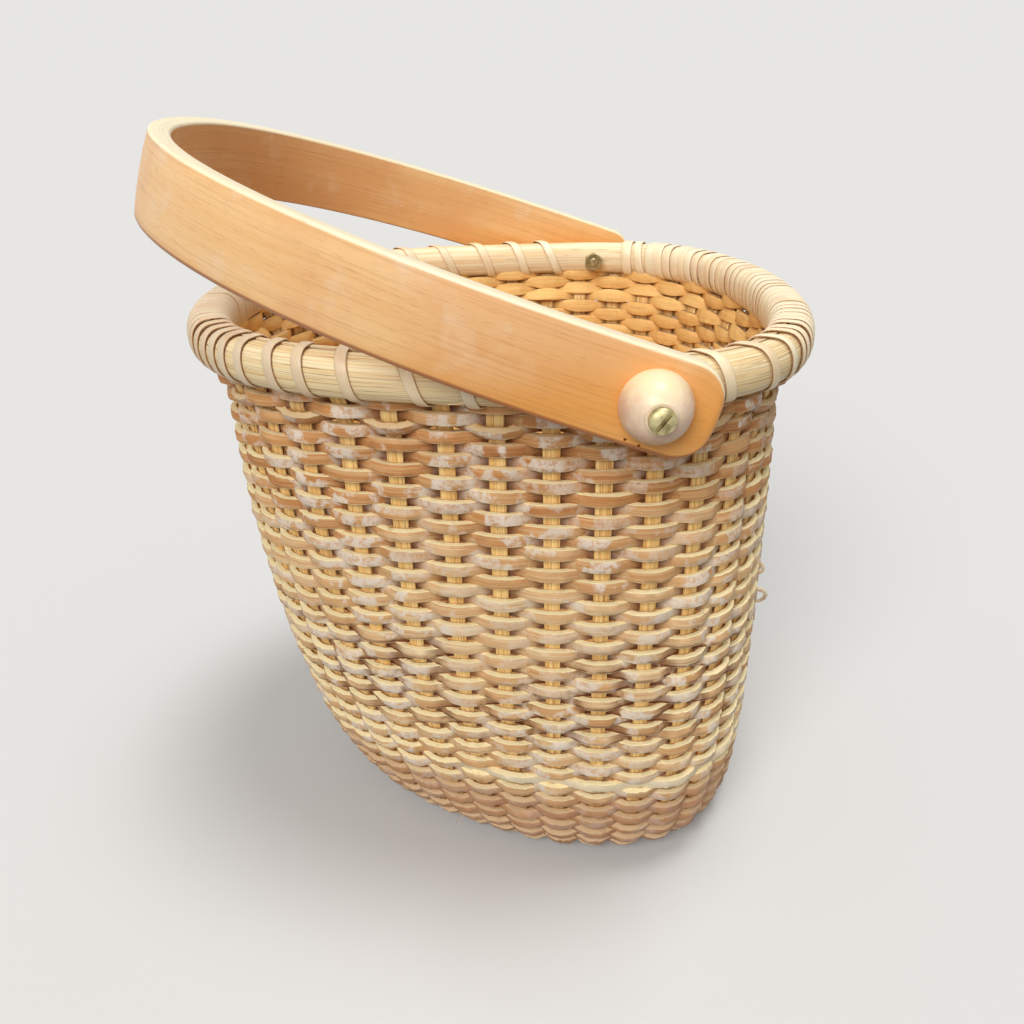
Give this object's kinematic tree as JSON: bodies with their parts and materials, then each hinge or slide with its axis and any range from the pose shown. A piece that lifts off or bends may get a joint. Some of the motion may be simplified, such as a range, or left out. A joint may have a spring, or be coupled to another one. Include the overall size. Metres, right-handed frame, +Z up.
{
  "type": "woven basket with swing handle",
  "caption": "Small egg-plan cane basket woven over flat staves on a wooden base, with a lashed double rim and a bent wooden handle that swings on knobbed brass screws.",
  "frame": {"origin": "centre of the base plate's flat underside", "axes": "+Z up, +Y along the handle's pivot axis towards the far knob, +X towards the blunt end; the handle leans towards -X at rest"},
  "size_m": [0.1807, 0.2106, 0.2013],
  "materials": {
    "weaver_cane": "dry, lightly aged cane",
    "stave_reed": "smooth split reed",
    "rim_reed": "half-round reed, fine grain",
    "lashing_cane": "glossy outer skin of cane",
    "handle_wood": "steam-bent, satin varnish",
    "base_wood": "turned board, satin",
    "knob_ivory": "polished, ivory coloured",
    "screw_brass": "dull aged brass"
  },
  "bodies": {
    "basket": {"base_plate": "base_wood", "woven_wall": "weaver_cane", "stave_01": "stave_reed", "stave_02": "stave_reed", "stave_03": "stave_reed", "stave_04": "stave_reed", "stave_05": "stave_reed", "stave_06": "stave_reed", "stave_07": "stave_reed", "stave_08": "stave_reed", "stave_09": "stave_reed", "stave_10": "stave_reed", "stave_11": "stave_reed", "stave_12": "stave_reed", "stave_13": "stave_reed", "stave_14": "stave_reed", "stave_15": "stave_reed", "stave_16": "stave_reed", "stave_17": "stave_reed", "stave_18": "stave_reed", "stave_19": "stave_reed", "stave_20": "stave_reed", "stave_21": "stave_reed", "stave_22": "stave_reed", "stave_23": "stave_reed", "stave_24": "stave_reed", "stave_25": "stave_reed", "stave_26": "stave_reed", "stave_27": "stave_reed", "stave_28": "stave_reed", "stave_29": "stave_reed", "stave_30": "stave_reed", "stave_31": "stave_reed", "stave_32": "stave_reed", "stave_33": "stave_reed", "stave_34": "stave_reed", "stave_35": "stave_reed", "stave_36": "stave_reed", "stave_37": "stave_reed", "stave_38": "stave_reed", "stave_39": "stave_reed", "stave_40": "stave_reed", "stave_41": "stave_reed", "outer_rim": "rim_reed", "inner_rim": "rim_reed", "rim_lashing": "lashing_cane", "knob_near": "knob_ivory", "knob_far": "knob_ivory", "screw_near": "screw_brass", "screw_far": "screw_brass", "nut_near": "screw_brass", "nut_far": "screw_brass"},
    "handle": {"handle": "handle_wood"}
  },
  "joints": [
    {"name": "handle_swing", "type": "hinge", "parent": "basket", "child": "handle", "pos_m": [0.02005, 0, 0.14975], "axis": [0, 1, 0], "range_deg": [-9.5, 222]}
  ]
}
